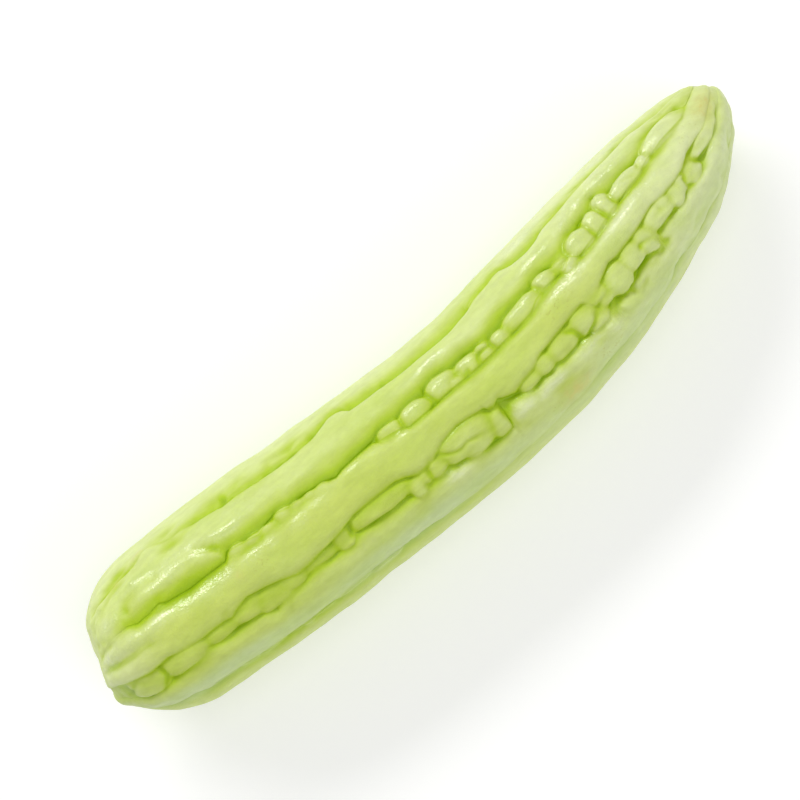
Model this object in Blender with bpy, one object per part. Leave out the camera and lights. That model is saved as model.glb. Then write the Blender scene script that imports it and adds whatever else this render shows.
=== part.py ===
"""Bitter gourd, as picked, lying on its side: one solid that grew as one piece.

The body is a gently bent, tapering sweep with nine lengthwise ridges and warty furrows between
them.  The stem end is blunt and dished, with the scar of the cut stem in the dish; the blossom end
is narrow and hooks a little sideways.  Underneath, the lowest two ridges are pressed flat where
the fruit's own weight bears on the surface.

Frame: +X runs from the stem end to the blossom end, +Z is up, and the origin lies on the surface,
under the middle of the fruit.  Sizes below are in millimetres and become metres at the end.
"""

import math

import bmesh
import bpy
import numpy as np

NAME = "bitter_gourd"
MM = 0.001

# --- Driving dimensions (mm and degrees) -----------------------------------------------------

# Centre line and crest radius, from the stem pole to the blossom pole: x, y, z, radius.
STATIONS = np.array((
    (-139.3, 4.2, 22.2, 0.0),
    (-138.75, 4.2, 22.3, 4.6),
    (-137.4, 4.3, 22.6, 9.0),
    (-134.8, 4.5, 23.2, 13.9),
    (-130.9, 4.7, 24.0, 19.0),
    (-126.4, 4.8, 24.7, 22.9),
    (-120.4, 4.8, 25.3, 26.0),
    (-112.4, 4.6, 25.8, 28.0),
    (-98.4, 3.7, 26.5, 28.8),
    (-78.4, 1.7, 27.0, 29.4),
    (-58.4, -0.4, 26.9, 29.2),
    (-38.4, -2.2, 26.5, 28.7),
    (-18.4, -3.8, 26.2, 28.4),
    (1.6, -5.1, 25.9, 28.0),
    (21.6, -5.2, 25.8, 27.8),
    (41.6, -3.9, 25.8, 27.8),
    (58.6, -1.8, 25.5, 27.3),
    (73.6, 0.7, 24.9, 25.9),
    (88.6, 3.3, 24.4, 24.1),
    (101.6, 5.7, 23.8, 22.3),
    (112.6, 8.2, 23.2, 20.0),
    (121.6, 11.2, 22.7, 16.7),
    (129.0, 14.5, 22.2, 12.8),
    (133.9, 17.2, 21.6, 9.1),
    (136.2, 18.8, 21.0, 5.8),
    (137.4, 20.0, 20.6, 0.0),
))

# Brings the middle of the footprint over the origin: x, y.
FOOTPRINT_SHIFT = (-0.3, 0.3)

# Ridges round the body.  Angles start on the +Y flank and pass over the top (90) to the -Y flank
# (180).  Each row gives the centre angle at the ridge stations, then the half widths there.
RIDGE_STATIONS = (40.0, 80.0, 120.0, 160.0, 200.0, 240.0, 280.0)
RIDGES = {
    "flank_left": ((12, 12, 12, 12, 12, 12, 12), (18, 17, 17, 17, 16, 15, 15)),
    "shoulder_left": ((54, 57, 55, 50, 47, 43, 42), (18, 16, 16, 11, 15, 10, 9)),
    "crown": ((90, 91, 90, 87, 88, 85, 83), (16, 15, 12, 11, 12, 12, 15)),
    "shoulder_right": ((134, 134, 133, 136, 132, 134, 132), (12, 14, 17, 14, 16, 16, 18)),
    "flank_right": ((174, 174, 174, 174, 174, 174, 174), (16, 16, 16, 16, 16, 16, 16)),
    "under_right": ((213, 213, 213, 213, 213, 213, 213), (15, 15, 15, 15, 15, 15, 15)),
    "sole_right": ((250, 250, 250, 250, 250, 250, 250), (14, 14, 14, 14, 14, 14, 14)),
    "sole_left": ((290, 290, 290, 290, 290, 290, 290), (14, 14, 14, 14, 14, 14, 14)),
    "under_left": ((330, 330, 330, 330, 330, 330, 330), (15, 15, 15, 15, 15, 15, 15)),
}

FURROW_DEPTH = 3.0          # ridge crest down to the furrow floor, mid-length
FURROW_DEPTH_AT_ENDS = 1.3
FURROW_FADE = 55.0          # length over which a furrow grows to its full depth
RIDGE_ROUNDNESS = 2.0       # exponent of the ridges' rounded section

WART_HEIGHT = 1.9           # warts standing up from the furrow floor
WART_PITCH = 13.0           # spacing of the warts along a furrow
WART_PHASE_STEP = 2.3       # shift of the pattern from one furrow to the next, radians

DISH_DEPTH = 2.2            # hollow round the stem scar
DISH_RADIUS = 7.0
SCAR_RADIUS = 3.6           # dry scar where the stem was cut
SCAR_HEIGHT = 1.8

# Mesh: intervals across each ridge and furrow, and rings along the body.
RIDGE_INTERVALS = 5
FURROW_INTERVALS = 2
RINGS = 70
STEM_RINGS, STEM_RING_LENGTH = 5, 8.0       # closer rings over the stem scar
TIP_RINGS, TIP_RING_LENGTH = 4, 6.0         # and over the blossom pole

SKIN_COLOUR = (0.62, 0.76, 0.25, 1.0)
SKIN_ROUGHNESS = 0.35


# --- Body sweep ------------------------------------------------------------------------------

def smooth_curve(knots, values, at):
    """Cubic curve through values given at the knots, read at the places in at."""
    steps = np.diff(knots)[:, None]
    slopes = np.diff(values, axis=0) / steps
    tangents = np.empty_like(values)
    tangents[1:-1] = (slopes[:-1] * steps[1:] + slopes[1:] * steps[:-1]) / (steps[1:] + steps[:-1])
    tangents[0], tangents[-1] = slopes[0], slopes[-1]
    span = np.clip(np.searchsorted(knots, at) - 1, 0, len(steps) - 1)
    width = steps[span]
    t = (at - knots[span])[:, None] / width
    return ((1 + 2 * t) * (1 - t) ** 2 * values[span]
            + t * (1 - t) ** 2 * width * tangents[span]
            + t ** 2 * (3 - 2 * t) * values[span + 1]
            + t ** 2 * (t - 1) * width * tangents[span + 1])


class Sweep:
    """The smooth body that the ridge crests touch, measured along its skin."""

    SAMPLES = 4000
    POLE_CLUSTERING = 0.92

    def __init__(self, stations):
        centres, radii = stations[:, :3], stations[:, 3]
        spans = np.linalg.norm(np.diff(centres, axis=0), axis=1)
        knots = np.concatenate(([0.0], np.cumsum(spans)))
        q = np.linspace(0.0, 1.0, self.SAMPLES)
        along = knots[-1] * (q - self.POLE_CLUSTERING * np.sin(2 * np.pi * q) / (2 * np.pi))
        self.centre = smooth_curve(knots, centres, along)
        squared = smooth_curve(knots, radii[:, None] ** 2, along)[:, 0]
        self.radius = np.sqrt(np.clip(squared, 0.0, None))
        self.skin = np.concatenate(([0.0], np.cumsum(np.hypot(np.diff(along), np.diff(self.radius)))))
        self.length = self.skin[-1]
        tangent = np.gradient(self.centre, along, axis=0)
        self.tangent = tangent / np.linalg.norm(tangent, axis=1)[:, None]
        forward, outward = np.gradient(along, self.skin), np.gradient(self.radius, self.skin)
        size = np.hypot(forward, outward)
        self.forward, self.outward = forward / size, outward / size

    def read(self, table, u):
        if table.ndim == 1:
            return np.interp(u, self.skin, table)
        return np.stack([np.interp(u, self.skin, column) for column in table.T], axis=-1)

    def points(self, u, angle, height):
        """Points height above the body, at skin distance u and angle (radians) round it."""
        tangent = self.read(self.tangent, u)
        tangent /= np.linalg.norm(tangent, axis=1)[:, None]
        side = np.cross((0.0, 0.0, 1.0), tangent)
        side /= np.linalg.norm(side, axis=1)[:, None]
        up = np.cross(tangent, side)
        radial = np.cos(angle)[:, None] * side + np.sin(angle)[:, None] * up
        normal = self.read(self.forward, u)[:, None] * radial
        normal -= self.read(self.outward, u)[:, None] * tangent
        return (self.read(self.centre, u) + self.read(self.radius, u)[:, None] * radial
                + height[:, None] * normal)


# --- Ridges, furrows and warts ---------------------------------------------------------------

def column_layout():
    """For every mesh column: is it on a ridge, which one, and how far across (0 to 1)."""
    layout = []
    for number in range(len(RIDGES)):
        layout += [(True, number, step / RIDGE_INTERVALS) for step in range(RIDGE_INTERVALS)]
        layout += [(False, number, step / FURROW_INTERVALS) for step in range(FURROW_INTERVALS)]
    return layout


def ridge_edges(number, u):
    """Angles in degrees where ridge number starts and ends, at skin distances u."""
    centres, half_widths = list(RIDGES.values())[number % len(RIDGES)]
    turn = 360.0 * (number // len(RIDGES))
    centre = np.interp(u, RIDGE_STATIONS, centres) + turn
    half_width = np.interp(u, RIDGE_STATIONS, half_widths)
    return centre - half_width, centre + half_width


def column_angle(layout_row, u):
    """Angle in degrees of one mesh column, which follows its ridge or furrow along the body."""
    on_ridge, number, across = layout_row
    start, end = ridge_edges(number, u)
    if on_ridge:
        return start + across * (end - start)
    next_start, _ = ridge_edges(number + 1, u)
    return end + across * (next_start - end)


def furrow_depth(u, length):
    """Furrows are shallow at the ends and deepest over the middle of the body."""
    inset = np.minimum(u, length - u)
    share = np.clip(inset / FURROW_FADE, 0.0, 1.0)
    depth = FURROW_DEPTH_AT_ENDS + (FURROW_DEPTH - FURROW_DEPTH_AT_ENDS) * share
    return depth * np.clip(inset / DISH_RADIUS, 0.0, 1.0)


def skin_height(layout_row, u, length):
    """Height of the skin against the body that the crests touch (never above it)."""
    on_ridge, number, across = layout_row
    depth = furrow_depth(u, length)
    if on_ridge:
        section = (1.0 - abs(2.0 * across - 1.0) ** RIDGE_ROUNDNESS) ** (1.0 / RIDGE_ROUNDNESS)
        return depth * (section - 1.0)
    between_edges = math.sin(math.pi * across)
    wave = np.cos(2.0 * np.pi * u / WART_PITCH + WART_PHASE_STEP * number)
    wart = WART_HEIGHT * between_edges * (0.5 + 0.5 * wave)
    return np.minimum(wart * depth / FURROW_DEPTH - depth, 0.0)


def stem_scar_height(u):
    """Dish in the stem end, with the dry stump of the cut stem standing in it."""
    dish = -DISH_DEPTH * np.exp(-(u / DISH_RADIUS) ** 2)
    stump = SCAR_HEIGHT * np.clip((SCAR_RADIUS + 1.0 - u), 0.0, 1.0)
    return dish + stump


def ring_positions(share, length):
    """Skin distance of each ring, closer together over the two poles."""
    shares = (0.0, STEM_RINGS / RINGS, 1.0 - TIP_RINGS / RINGS, 1.0)
    return np.interp(share, shares, (0.0, STEM_RING_LENGTH, length - TIP_RING_LENGTH, length))


# --- The solid -------------------------------------------------------------------------------

def skin_material():
    """Waxy pale green skin."""
    material = bpy.data.materials.new("gourd_skin")
    material.use_nodes = True
    shader = material.node_tree.nodes["Principled BSDF"]
    shader.inputs["Base Color"].default_value = SKIN_COLOUR
    shader.inputs["Roughness"].default_value = SKIN_ROUGHNESS
    shader.inputs["Metallic"].default_value = 0.0
    return material


def shape_gourd(mesh):
    """Start from a sphere whose poles become the stem and blossom ends, and shape its skin."""
    sweep = Sweep(STATIONS)
    layout = column_layout()
    bm = bmesh.new()
    bmesh.ops.create_uvsphere(bm, u_segments=len(layout), v_segments=RINGS, radius=1.0)
    sphere = np.array([vertex.co for vertex in bm.verts])
    polar = np.arccos(np.clip(-sphere[:, 2], -1.0, 1.0))
    u = ring_positions(polar / np.pi, sweep.length)
    turn = np.arctan2(sphere[:, 1], sphere[:, 0]) / (2.0 * np.pi)
    column = np.rint(turn * len(layout)).astype(int) % len(layout)

    angle = np.zeros(len(u))
    height = np.zeros(len(u))
    for index, layout_row in enumerate(layout):
        mine = column == index
        angle[mine] = column_angle(layout_row, u[mine])
        height[mine] = skin_height(layout_row, u[mine], sweep.length)
    height += stem_scar_height(u)

    points = sweep.points(u, np.radians(angle), height)
    points[:, :2] += FOOTPRINT_SHIFT
    points[:, 2] = np.maximum(points[:, 2], 0.0)        # pressed flat by its own weight
    for vertex, point in zip(bm.verts, points * MM):
        vertex.co = point
    bm.to_mesh(mesh)
    bm.free()


def build():
    for item in list(bpy.data.objects):
        bpy.data.objects.remove(item, do_unlink=True)
    collection = bpy.data.collections.new(NAME)
    bpy.context.scene.collection.children.link(collection)
    mesh = bpy.data.meshes.new(NAME)
    shape_gourd(mesh)
    mesh.shade_smooth()
    mesh.materials.append(skin_material())
    collection.objects.link(bpy.data.objects.new(NAME, mesh))


build()
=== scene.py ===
"""Looks of the bitter gourd: its fine skin, its material, and a plain studio round it.

The skin is one mesh that stands for the CAD solid.  It follows the same body sweep, measured in
millimetres along the skin from the stem pole (u) and in degrees round the body (angle): 0 is the
+Y flank, 90 the top, 180 the -Y flank.  Ridge crests touch the body; everything else lies below.
Mesh columns follow the edges of the ridges, so that the creases there stay sharp.
"""

import math
import random

import bmesh
import bpy
import numpy as np
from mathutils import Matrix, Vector, noise


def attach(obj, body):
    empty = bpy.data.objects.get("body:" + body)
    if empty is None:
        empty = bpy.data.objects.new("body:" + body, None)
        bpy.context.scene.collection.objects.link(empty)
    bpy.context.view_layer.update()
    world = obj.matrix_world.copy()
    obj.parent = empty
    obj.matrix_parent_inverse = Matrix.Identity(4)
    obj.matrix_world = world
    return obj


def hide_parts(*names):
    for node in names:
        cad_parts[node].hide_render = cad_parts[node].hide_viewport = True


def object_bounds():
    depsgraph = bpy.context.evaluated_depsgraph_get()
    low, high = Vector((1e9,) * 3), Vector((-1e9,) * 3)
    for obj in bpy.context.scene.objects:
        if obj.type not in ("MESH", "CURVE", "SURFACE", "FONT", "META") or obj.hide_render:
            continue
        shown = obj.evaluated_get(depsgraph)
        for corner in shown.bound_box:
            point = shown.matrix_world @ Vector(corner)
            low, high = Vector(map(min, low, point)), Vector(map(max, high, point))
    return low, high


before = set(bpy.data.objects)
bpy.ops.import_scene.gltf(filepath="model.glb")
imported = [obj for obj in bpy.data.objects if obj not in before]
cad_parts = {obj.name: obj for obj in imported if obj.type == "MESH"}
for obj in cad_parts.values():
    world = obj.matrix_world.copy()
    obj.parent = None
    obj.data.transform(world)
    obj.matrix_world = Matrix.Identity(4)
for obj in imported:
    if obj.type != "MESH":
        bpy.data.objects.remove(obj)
cad_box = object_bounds()

NODE = "bitter_gourd"
MM = 0.001

# --- Body (mm) ---

# Centre line and crest radius, from the stem pole to the blossom pole: x, y, z, radius.
STATIONS = np.array((
    (-139.3, 4.2, 22.2, 0.0), (-138.75, 4.2, 22.3, 4.6), (-137.4, 4.3, 22.6, 9.0),
    (-134.8, 4.5, 23.2, 13.9), (-130.9, 4.7, 24.0, 19.0), (-126.4, 4.8, 24.7, 22.9),
    (-120.4, 4.8, 25.3, 26.0), (-112.4, 4.6, 25.8, 28.0), (-98.4, 3.7, 26.5, 28.8),
    (-78.4, 1.7, 27.0, 29.4), (-58.4, -0.4, 26.9, 29.2), (-38.4, -2.2, 26.5, 28.7),
    (-18.4, -3.8, 26.2, 28.4), (1.6, -5.1, 25.9, 28.0), (21.6, -5.2, 25.8, 27.8),
    (41.6, -3.9, 25.8, 27.8), (58.6, -1.8, 25.5, 27.3), (73.6, 0.7, 24.9, 25.9),
    (88.6, 3.3, 24.4, 24.1), (101.6, 5.7, 23.8, 22.3), (112.6, 8.2, 23.2, 20.0),
    (121.6, 11.2, 22.7, 16.7), (129.0, 14.5, 22.2, 12.8), (133.9, 17.2, 21.6, 9.1),
    (136.2, 18.8, 21.0, 5.8), (137.4, 20.0, 20.6, 0.0),
))
FOOTPRINT_SHIFT = (-0.3, 0.3)

# --- Ridge edges: (u, angle) points along the skin ---

SHOULDER_LEFT_START = (
    (24, 38), (40, 36), (58, 35), (72, 39), (84, 41), (88, 40), (95, 42), (110, 41), (116, 38.5),
    (120, 36), (122, 34.5), (126, 30.5), (129, 30), (131, 31.5), (133, 38), (145, 37.5),
    (160, 38.5), (175, 39), (184, 36.5), (190, 33), (197, 32), (200, 30), (203, 30), (207, 36),
    (214, 39), (217, 38), (223, 34.5), (235, 33), (247, 31), (254, 33), (262, 27), (275, 30),
    (290, 32),
)
SHOULDER_LEFT_END = (
    (30, 68), (38, 69.5), (41, 72.5), (46, 72.5), (50, 71), (52, 73.5), (60, 76), (74, 75.5),
    (76, 70.5), (80, 71.5), (87, 73.5), (89, 71.5), (94, 68.5), (100, 70.5), (105, 69.5),
    (113, 70.5), (117, 73), (120, 71), (128, 69), (133, 68), (137, 65.5), (139, 65.5), (142, 67),
    (147, 64), (150, 63.5), (155, 64.5), (156, 61.5), (163, 59.5), (169, 63), (174, 61.5),
    (180, 65), (182.5, 68), (184, 66.5), (191, 64), (205, 62), (206, 60.5), (212, 60.5), (217, 66),
    (220, 68), (222, 64), (226, 59.5), (230, 57.5), (231, 55.5), (238, 56), (240, 50.5),
    (241.5, 50), (244, 57), (260, 56), (262, 57.5), (268, 51.5), (272, 47), (275, 46), (284, 48),
    (286, 52), (288.5, 61), (293, 57), (297, 51), (300, 46),
)
# Where this lies before the left shoulder's end, the crown starts right after that end.
CROWN_START = (
    (132, 68), (135, 72), (143.5, 74.5), (145, 77), (152, 76), (163, 75), (175, 75.5), (199, 75.5),
    (203, 72), (207, 70.5), (213, 71.5), (216, 73.5), (220, 69.5), (222.5, 75), (233, 74),
    (238, 72), (249, 69.5), (256, 69), (262, 65), (270, 65), (282, 68.5), (286, 64), (288.5, 62),
    (297, 52),
)
CROWN_END = (
    (20, 100), (27, 104), (34, 107), (42, 105), (49, 108.5), (55, 109), (63, 108.5), (66, 110),
    (68, 107), (73, 103.5), (80, 106), (85, 108.5), (90, 112), (95, 111), (100, 108.5), (107, 106),
    (114, 102), (131, 101), (134.5, 103.5), (138, 107.5), (141, 108), (145, 105.5), (150, 100),
    (157, 97), (167, 99.5), (168, 103), (170, 104), (172.5, 101), (174, 103.5), (178, 107.5),
    (182, 105), (187, 104.5), (190, 101), (192, 100), (205, 98.5), (211, 98), (213, 103),
    (214, 107), (216, 105), (220, 99), (226.5, 95), (230, 97), (240, 97), (250, 94), (255, 98),
    (266, 98), (271, 93), (276, 94), (282, 98), (293, 95), (299, 92),
)
SHOULDER_RIGHT_START = (
    (20, 124), (27, 126), (33, 123), (40, 121), (48, 119), (52, 116.5), (53, 113.5), (55, 116.5),
    (58, 118), (72, 119), (78, 122.5), (81, 118.5), (85, 116.5), (90, 118), (92, 116),
    (95.5, 112.5), (99, 115.5), (103, 115.5), (109, 117.5), (111, 113), (118, 115), (131, 115),
    (134.5, 119), (137, 119), (138.5, 115.5), (146, 114.5), (147.5, 114), (149.5, 118),
    (157, 119.5), (159.3, 123), (162, 124.5), (165, 125.5), (170.7, 124.5), (171.7, 105),
    (178, 109), (184, 113.5), (187, 112.5), (190, 114.5), (193, 112), (195, 114), (202, 115),
    (209, 118), (214, 120), (215, 117), (219, 114), (222, 119.5), (230, 120), (233, 117),
    (238, 117), (240, 121), (242.6, 121), (243.6, 113), (250, 111), (254, 114), (259, 114),
    (263, 110.5), (265, 115), (269, 117), (279, 109.5), (282, 113), (285, 116),
)
SHOULDER_RIGHT_END = (
    (30, 147), (38, 145), (44, 149), (56, 149), (70, 152), (84, 151), (98, 149), (109, 149),
    (125, 149), (150, 150), (200, 147), (208, 147), (236, 151), (248, 148), (270, 147),
)

# Ridges on the sides and underneath: start and end angle of each, before it is made wavy.
HIDDEN_RIDGES = ((198, 228), (237, 264), (276, 304), (314, 345))
FLANK_RIGHT_END_ANGLE = 189
FLANK_LEFT_START_ANGLE = 354
EDGE_WAVES = ((31.0, 1.2), (17.0, 1.0), (9.5, 0.7))  # wavelength in mm, swing in degrees

LEAST_FURROW = 1.2  # degrees across a furrow that is no more than a crease

# Depth of each furrow below the crests: (u, mm).
DEPTH_LEFT = (
    (0, 0.1), (30, 0.2), (42, 0.5), (50, 0.35), (57, 0.6), (65, 0.45), (78, 1.3), (84, 1.3),
    (88, 0.9), (97, 1.0), (101, 1.5), (106, 1.1), (114, 1.2), (119, 2.0), (126, 1.2), (131, 1.4),
    (134, 2.2), (145, 2.1), (152, 1.9), (160, 1.8), (172, 2.1), (185, 1.9), (192, 1.0), (203, 1.2),
    (207, 2.2), (218, 2.1), (226, 1.2), (240, 1.1), (251, 1.6), (258, 1.3), (270, 0.9), (290, 0.5),
    (303, 0.2),
)
DEPTH_CROWN_LEFT = (
    (0, 0.1), (33, 0.15), (37, 0.8), (40, 1.8), (50, 2.6), (74, 2.6), (90, 2.4), (130, 2.6),
    (150, 3.0), (240, 3.0), (268, 2.4), (280, 1.6), (290, 0.9), (303, 0.2),
)
DEPTH_CROWN_RIGHT = (
    (0, 0.3), (18, 1.2), (28, 2.1), (50, 2.4), (130, 2.5), (150, 2.7), (240, 2.8), (262, 2.4),
    (275, 1.8), (285, 1.0), (303, 0.3),
)
DEPTH_RIGHT = (
    (0, 0.3), (30, 1.1), (60, 1.9), (128, 1.9), (150, 0.6), (196, 0.4), (204, 1.0), (210, 0.9),
    (218, 0.4), (232, 0.5), (240, 0.8), (262, 0.7), (275, 0.5), (303, 0.2),
)
DEPTH_HIDDEN = ((0, 0.3), (30, 1.3), (70, 2.6), (240, 2.7), (280, 1.5), (303, 0.3))
FURROW_DEPTHS = (DEPTH_LEFT, DEPTH_CROWN_LEFT, DEPTH_CROWN_RIGHT, DEPTH_RIGHT) + 5 * (
    DEPTH_HIDDEN,)

# --- Warts: start and end u, start and end angle, height of the top ---

WARTS_LEFT = (
    (46, 52, 30, 36, -0.3), (60, 73, 29, 38, -0.3), (84.5, 93.5, 28, 40.5, -0.3),
    (93, 99.5, 29, 41, -0.4), (101, 110, 26, 39, -0.4), (109.5, 117, 29, 39.5, -0.4),
    (122, 131.5, 24, 31, -0.5), (186, 193, 27, 35, -0.4), (192, 204, 25, 31, -0.4),
    (221, 232, 27, 35, -0.4), (232, 245, 27, 34, -0.4), (259, 269, 23, 29, -0.4),
)
WARTS_CROWN_LEFT = (
    (76.5, 82, 72, 78, -0.6), (81.5, 87.5, 73, 78.5, -0.4), (86.5, 94, 73, 77.5, -0.4),
    (93.6, 99.3, 69.5, 77.5, -0.3), (99, 104.7, 71.5, 77, -0.4), (104.4, 109, 71, 76.5, -0.5),
    (108.6, 114, 71.5, 76.5, -0.6), (135.3, 143.5, 65.5, 74.5, -0.5),
    (143.6, 155.3, 63.8, 77, -0.3), (155.2, 168, 60, 75.5, -0.1), (163, 169, 70.5, 76.5, -0.5),
    (167.6, 178, 62.5, 75.5, -0.4), (177.6, 182.8, 63.5, 70.5, -0.4),
    (176.3, 182.8, 69.5, 76, -0.6), (182.8, 190.5, 66, 76, -0.4), (189.2, 206, 62.3, 75.8, -0.2),
    (205, 213.6, 60.3, 70.8, -0.3), (213.3, 220.5, 62, 71, -1.1), (215.5, 222.6, 69.3, 75.8, -0.3),
    (221, 231.8, 57.8, 75, 0.4), (230.6, 238.4, 56, 74, -0.1), (238.4, 244.3, 50, 72, 0.1),
    (243.8, 259, 56.8, 69.5, -0.1), (258.3, 263, 56.8, 66.5, -0.3), (262.3, 285.5, 47, 67.5, 0.2),
)
WARTS_CROWN_RIGHT = (
    (23, 36.8, 105, 125, -0.6), (36.7, 54, 106.5, 120, -0.7), (54, 67.5, 109, 117.4, -1.2),
    (64, 77, 104.6, 118, -1.2), (73.5, 86, 108, 121.5, -1.0), (80.5, 92, 107, 117.7, -1.2),
    (91, 104, 109.4, 116, -1.2), (104.6, 110.7, 105.5, 119, -1.2), (111, 134.3, 101.7, 114.6, -0.9),
    (133.8, 138, 107.5, 121, -0.6), (137.2, 141.6, 107, 116, -1.0), (141, 147, 106.5, 117, -0.7),
    (146.6, 166.5, 97.5, 116, -0.4), (148, 160, 106, 119, -0.5), (153, 165, 106, 124, -0.5),
    (164.6, 171.2, 103, 126, -0.5), (180, 187.6, 104.5, 113.3, -0.8),
    (187.3, 193.2, 101.3, 114, -0.7), (193, 203.8, 100.3, 114.3, -0.6),
    (203.6, 212.8, 98.8, 116, -0.5), (211, 220.4, 97.8, 106.8, -0.6),
    (207.7, 215.2, 110, 120.2, -0.8), (214.8, 220.6, 104, 113.7, -0.8),
    (220, 229.7, 97.5, 119.5, -0.1), (229.5, 237.6, 98, 116.8, -0.5),
    (237.3, 243.4, 97.3, 121, -0.5), (243.4, 255.5, 95.5, 111.5, -0.3), (255, 260.4, 99, 114, -0.4),
    (259.9, 264.3, 99, 112, -0.6), (264, 271.3, 97, 117, -1.1), (271.3, 292, 96, 109.5, -0.3),
)

# --- Folds: half width and depth in mm (below zero: a raised welt), then points (u, angle) ---

FOLDS = (
    # left furrow: cuts between its bumps
    (0.8, 1.0, (82.2, 41), (83.5, 36), (82.6, 31)), (0.8, 0.5, (146, 38), (147, 32)),
    (0.8, 0.5, (160, 38), (160, 33)),
    # stem end: fine wrinkles that run on into the left shoulder
    (0.7, 0.5, (27, 45), (35, 43), (45, 41.5)), (0.7, 0.45, (25, 51), (32, 50), (41, 49)),
    (0.8, 0.45, (29, 37.5), (36, 37), (43, 35)), (0.8, 0.35, (27, 31), (34, 29)),
    (1.0, 0.4, (24, 58), (28, 62), (30, 66)), (1.0, 0.35, (22, 66), (26, 70), (31, 72)),
    # oblique fold from the left shoulder down to the crown
    (1.0, -0.8, (64, 61), (68, 65), (71, 67.5), (75, 71)),
    (0.9, 1.1, (67, 57.5), (69.5, 60), (72.5, 63.5), (75, 69)),
    # left shoulder: raised lines and a dimple
    (1.1, -0.5, (44, 49.5), (51, 49), (58, 52)),
    (1.7, -0.7, (44, 61), (52, 62), (60, 62), (66, 60)),
    (1.1, -0.45, (59, 52.5), (64, 51), (70, 53)), (1.4, -0.45, (72, 58.5), (77, 59), (84, 59.5)),
    (0.8, 0.7, (38.8, 58.8), (40.2, 60.2), (42, 60.4)),
    # crown, stem end: the crown splits in two
    (1.4, 1.0, (17, 79), (20, 81), (24, 84), (28, 86), (32, 88.5), (38, 90.5), (45, 91.5)),
    (1.8, -0.7, (28, 77), (34, 80), (42, 81), (52, 82.5)),
    (2.2, -0.5, (17, 94), (24, 94), (32, 96.5), (42, 97.5)),
    # crown: lobes along its left edge
    (0.8, 0.4, (77, 79), (81, 79.6), (87, 79), (88.5, 76)),
    (0.8, 0.35, (93, 78.3), (100, 78.6), (106, 77.6), (113, 77.6)),
    # crown: faint lines near its right edge
    (0.9, 0.5, (132, 100.5), (137, 103.5), (141, 105.5), (145, 102)),
    (0.8, 0.4, (171, 98), (174, 98.2), (177, 97.5)),
    (0.7, 0.5, (63.5, 105), (65.5, 102.5), (67, 101)), (0.7, 0.35, (138.5, 98.5), (142.5, 97.5)),
    (0.8, 0.4, (75, 89.5), (77, 88)),
    # between the crown and the left shoulder
    (0.5, 0.9, (143.6, 75), (143.3, 67)), (0.6, 1.0, (155.2, 64), (155.8, 69), (157, 75)),
    (0.8, 1.0, (170.5, 75), (171.5, 71.5)),
    (0.5, 0.9, (175.8, 75), (176.5, 72), (178, 69.8), (182, 69.6)),
    (0.5, 0.9, (182.7, 66), (182.9, 70), (183.2, 75)), (0.6, 0.6, (188.6, 67), (189.3, 70)),
    (0.6, 0.9, (205, 62.5), (206, 66), (207, 70)),
    (0.5, 0.9, (231.2, 59), (231.8, 65), (231.4, 73)),
    (0.5, 1.3, (238.3, 57), (238.5, 66), (238.2, 71)), (0.5, 0.9, (244.1, 57), (244, 69)),
    (0.9, 0.35, (249.5, 61), (253, 65.5), (256, 66)), (0.7, 0.4, (256.5, 65), (259, 61), (261, 59)),
    (0.6, 0.8, (262.2, 57), (262, 65)),
    # between the crown and the right shoulder
    (0.9, 0.8, (27, 107), (24, 112), (22, 115), (19, 118)),
    (0.7, 0.9, (36.7, 108), (37, 115), (33.5, 123)), (0.6, 0.9, (111, 104), (110.8, 112)),
    (0.8, 0.6, (137.6, 113), (138.6, 117)), (0.6, 0.8, (141, 107), (141, 115)),
    (0.5, 1.0, (146.5, 103.5), (149.4, 107.6), (152, 109.4), (154.4, 109.9), (156, 108.9),
     (160, 112), (162, 112.7)),
    (0.5, 0.9, (167.2, 100), (167.4, 104.3), (170.6, 105)),
    (0.6, 0.5, (167.2, 105), (166, 112), (165.3, 117.5)),
    (0.5, 1.0, (171.4, 105), (171.4, 114), (171.3, 124)),
    (1.0, 0.5, (172.3, 125.5), (174.8, 130.5), (177, 132), (183, 131.4)),
    (1.0, 0.4, (187, 129.5), (190.5, 127), (194, 127.5)),
    (0.6, 0.9, (201, 101), (203, 106), (204, 114)),
    (0.6, 1.0, (206, 116.5), (208.5, 115), (211, 111), (212.7, 108)),
    (0.8, 1.1, (220.5, 116), (217, 121), (219, 127)),
    (0.9, 1.2, (225.5, 121), (224.8, 124), (226, 127), (228.5, 128.5), (232.5, 127.5)),
    (0.8, 1.2, (231.5, 117.3), (236, 118), (239, 119), (241, 121.3)),
    (0.8, 0.9, (233.5, 122), (237, 124.5), (243, 124), (247, 120)),
    (0.6, 0.8, (236, 107), (238.5, 106), (242, 109)),
    (0.7, 0.9, (242, 109), (243, 116), (244.5, 122), (241, 126)),
    (0.8, 1.1, (264.2, 101), (263.2, 107), (262.6, 110), (264, 113)),
    (0.9, 0.35, (250, 97), (250.6, 104)), (1.0, 0.3, (246, 101), (252, 104), (258, 103)),
    (0.9, 0.9, (270.8, 101), (271.6, 106), (272.6, 110), (276, 110.5)),
    (1.0, 0.5, (288, 108), (291, 113), (294.5, 121)),
    # right shoulder: cuts, and a raised place beside the warts at its edge
    (0.9, 1.1, (215, 120), (217, 125), (218.5, 129)),
    (0.8, 0.8, (79.5, 132), (82, 128), (83.5, 125)), (2.2, -0.4, (225.5, 119), (229, 123.5)),
    # blossom end: hollow where the left shoulder stops
    (1.5, 1.0, (285.3, 45), (286.3, 49), (287.3, 53)), (1.0, 0.5, (276, 36), (284, 37), (290, 38)),
)

# --- Swells: u, angle, radius along, radius round, height (mm) ---

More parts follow.
